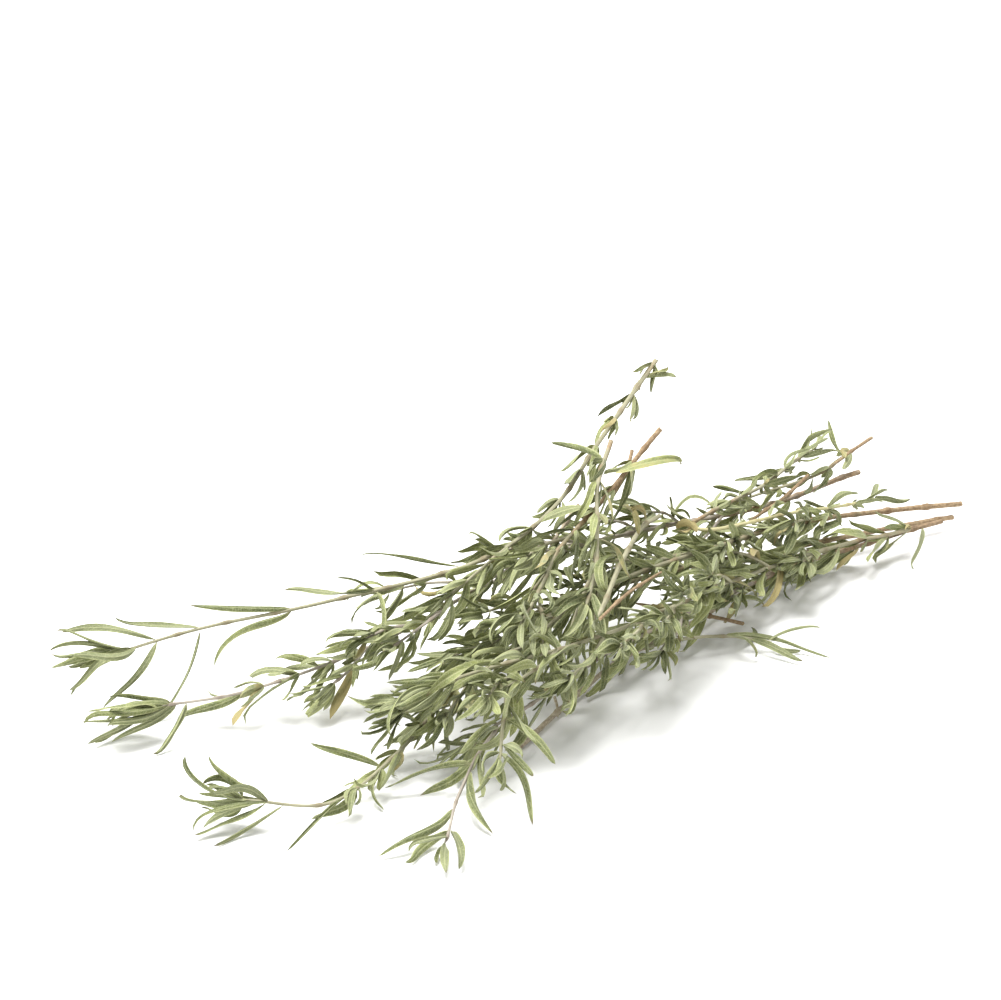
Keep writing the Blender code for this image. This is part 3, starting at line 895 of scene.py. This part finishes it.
def dress(name, plan):
    """All the leaves of one sprig: its long leaves, its tip tuft, and its pairs and leaflets."""
    rng = np.random.default_rng(plan["seed"])
    if plan["long"]:
        nodes = [f"{name}_leaf_{k + 1}" for k in range(len(plan["long"]))]
        leaf_piece(f"{name}_long_blades", long_leaves(name, plan, rng), True, nodes)
    leaf_piece(f"{name}_tip_blades", tuft_leaves(name, plan, rng), True, [f"{name}_tip_leaves"])
    leaves = side_leaves(name, plan, rng) if plan["pairs"] else []
    for key, _, reach in SHOOTS.get(name, []):
        leaves += side_leaves(key, dict(pairs=(3.0, reach - 2.0, 6.0, 10.5), leaflets=(1, 3)),
                              rng)
        leaves += tuft_leaves(key, dict(tuft=(6, 10.5, 24)), rng)
    if leaves:
        leaf_piece(f"{name}_side_blades", leaves, False, [])


# For each sprig: its long leaves as (distance back from the growing tip, the leaf's own tip,
# arch), its tuft as (leaves, length, spread in degrees), and its pairs as (first, last, step,
# length), where first and last are distances back from the tip.
SPREAD_TIPS = {
    "back_long_sprig": dict(
        long=[(9, (-87, 32, 19), 0.05), (9, (-85, 19, 7), 0.05), (18, (-77, 29, 21), 0.0),
              (18, (-73, 21, 0.5), 0.1), (37, (-62, 26, 21), 0.05), (37, (-59, 22, 8), 0.0),
              (54, (-46, 16, 24), 0.05), (54, (-35, 4, 11), 0.25), (72, (-29, 15, 28), 0.05)],
        tuft=(10, 17, 18), pairs=(82, 150, 8, 9), seed=21),
    "left_sprig": dict(
        long=[(6, (-80, 8, 0.5), 0.1), (18, (-69, 18, 1), 0.1), (34, (-50, 13, 11), 0.05),
              (36, (-48, 2, 3), 0.1), (50, (-37, 16, 9), 0.05)],
        tuft=(13, 17, 13), pairs=(22, 170, 7.5, 13), seed=22),
    "front_left_sprig": dict(
        long=[(29, (-54, -36, 0.5), 0.05), (32, (-60, -19, 9), 0.05), (20, (-77, -40, 0.5), 0.1),
              (47, (-44, -5, 9), 0.1), (8, (-87, -31, 0.6), 0.1)],
        tuft=(13, 15, 32), pairs=(24, 172, 7.5, 13), seed=23),
    "front_sprig": dict(
        long=[(24, (-51, -31, 2), 0.15), (22, (-42, -55, 0.6), 0.25), (11, (-64, -50.5, 0.5), 0.1),
              (162, (69, -3, 0.8), 0.15), (182, (103, -4, 0.6), 0.1)],
        tuft=(5, 12, 28), pairs=(28, 168, 7.5, 13), seed=24),
    "middle_sprig": dict(
        long=[(13, (-40, -40, 10), 0.05), (13, (-25, -50, 8), 0.15), (2, (-34, -56, 0.6), 0.1)],
        tuft=(8, 12, 34), pairs=(18, 158, 7, 13), seed=25),
}
for name, plan in SPREAD_TIPS.items():
    dress(name, plan)

# ---------------------------------------------------------------------------------------------
# The leaves of the thick middle, where the sprigs cross and press on each other.
# ---------------------------------------------------------------------------------------------
CROSSING_SPRIGS = {
    "upright_sprig": dict(long=[(40, (14, 10, 45), 0.1)], tuft=(6, 13, 22), pairs=(6, 56, 7, 11),
                          seed=31),
    "crossing_sprig": dict(long=[], tuft=(6, 13, 20), pairs=(6, 62, 7, 13), seed=32),
    "front_middle_sprig": dict(long=[], tuft=(9, 14, 22), pairs=(5, 155, 7, 13), seed=33),
    "bare_woody_sprig": dict(long=[], tuft=(4, 11, 26), pairs=(5, 28, 8, 10), seed=34),
}
for name, plan in CROSSING_SPRIGS.items():
    dress(name, plan)

# ---------------------------------------------------------------------------------------------
# The leaves among the cut ends, on the sprigs that lie the other way round.
# ---------------------------------------------------------------------------------------------
RIGHT_SPRIGS = {
    "right_front_sprig": dict(long=[(8, (53, -9, 1), 0.3), (11, (58, -30, 0.6), 0.35)],
                              tuft=(3, 13, 24), pairs=None, seed=41),
    "straw_sprig": dict(long=[], tuft=(4, 10, 22), pairs=(8, 60, 11, 9), seed=42),
    "high_right_sprig": dict(long=[(12, (70, 20, 21), 0.1)], tuft=(5, 9, 36),
                             pairs=(6, 40, 8, 9), seed=43),
    "far_right_sprig": dict(long=[(38, (102, 27, 27), 0.1)], tuft=(4, 10, 24),
                            pairs=(6, 45, 9, 9), seed=44),
}
for name, plan in RIGHT_SPRIGS.items():
    dress(name, plan)

# ---------------------------------------------------------------------------------------------
# The broken bits caught in the bundle: stubs of snapped twigs, leaves dried dark or yellow and
# rolled up, and the few wide curled leaves round the raised cut end. Each was placed one by one, on
# the pile or, for a third of them, up to a few millimetres clear of it.
# ---------------------------------------------------------------------------------------------
# Each twig: its name, its route, its radius and its bark.
SNAPPED_TWIGS = [
    ("orange_twig", [(-5.4, -35.9, 27.5), (7.1, -29, 28), (21.8, -19.2, 25)], 0.32, FIELD_STEM),
    ("pale_stub", [(20.5, 9, 30), (16.5, 7.5, 28), (10, 4, 25)], 0.45, PALE_WOOD),
    ("dark_stub", [(30, 3.5, 42), (27, 1, 39), (22, -1, 35)], 0.40, FIELD_STEM),
    ("side_twig", [(-1.8, -15.5, 1.6), (-3.6, -19, 1.5), (-5.6, -22.3, 0.9)], 0.30, PALE_WOOD),
    ("short_twig", [(86, 14, 21), (74, 9, 19), (62, 6, 17)], 0.38, FIELD_STEM),
]
# Each leaf: its foot, its tip, its width, how far it arches, and how yellow it has aged.
ROLLED_BITS = [
    ((19.1, -5.4, 42), (34.1, -7.6, 41.5), 2.6, 0.25, 0.35),
    ((43.4, 17.9, 51), (50.3, 15.9, 50.5), 2.6, 0.1, 0.3),
    ((43.4, 17.9, 51.4), (48.6, 16.9, 53), 1.6, 0.0, 0.45),
    ((43.0, 18.2, 50.6), (43.6, 20, 47.6), 1.6, 0.2, 0.5),
    ((35.0, -5.7, 26.4), (36.9, -10.3, 26.9), 3.0, 0.5, 1.1),
    ((34.6, -6.6, 26.6), (38.4, -8.0, 28.2), 2.4, -0.5, 1.0),
    ((23.5, -2.3, 33), (22.6, -9.3, 29), 2.2, 0.4, 0.6),
    ((23.0, -5.9, 33), (27.3, -5.1, 30), 2.0, 0.4, 0.7),
    ((36.4, -13.9, 14), (52.8, -10.6, 9), 2.4, 0.1, 0.5),
    ((38.1, -3.5, 6), (59.3, -5.7, 3), 2.9, 0.1, 0.0),
    ((60.9, 3.8, 10), (85, 8.3, 5), 2.6, 0.1, 0.0),
    ((86.9, 18.2, 25), (97.2, 19.4, 28), 3.2, 0.2, 0.0),
    ((76.0, 12.3, 24), (68.4, 11.7, 23), 3.0, 0.3, 0.0),
    ((42.6, -16.2, 4), (44.6, -21.2, 0.8), 1.8, 0.6, 0.3),
    ((12.0, -17.0, 30), (4.0, -25.0, 27), 2.6, 0.2, 0.0),
    ((-8.0, -33.0, 21.5), (-22.0, -38.5, 19), 2.9, 0.15, 0.0),
    ((-24.0, -30.5, 20.5), (-41.0, -30.0, 18), 2.8, 0.15, 0.0),
]


def make_rolled_bits():
    """The wide, curled and yellowed leaves, laid one by one."""
    rng = np.random.default_rng(55)
    bits = []
    for foot, tip, width, arch, age in ROLLED_BITS:
        foot, tip = np.array(foot, float), np.array(tip, float)
        leaf = new_leaf(rng, foot, tip, np.array([0, 0, 1.0]), width, 1.2)
        leaf["width"] = width
        leaf["bend"] = -4.0 * arch
        leaf["fold"] = 0.9
        leaf["nature"] = np.array([rng.uniform(0.4, 1), age, 0.9])
        bits.append(leaf)
    leaf_piece("rolled_bits", bits, True, [])


for number, (name, route, radius, finish) in enumerate(SNAPPED_TWIGS):
    plan = dict(route=route, radii=(radius, radius * 0.85), wood=1.2, seed=300 + number)
    stem_piece(name, [plan], finish)
make_rolled_bits()
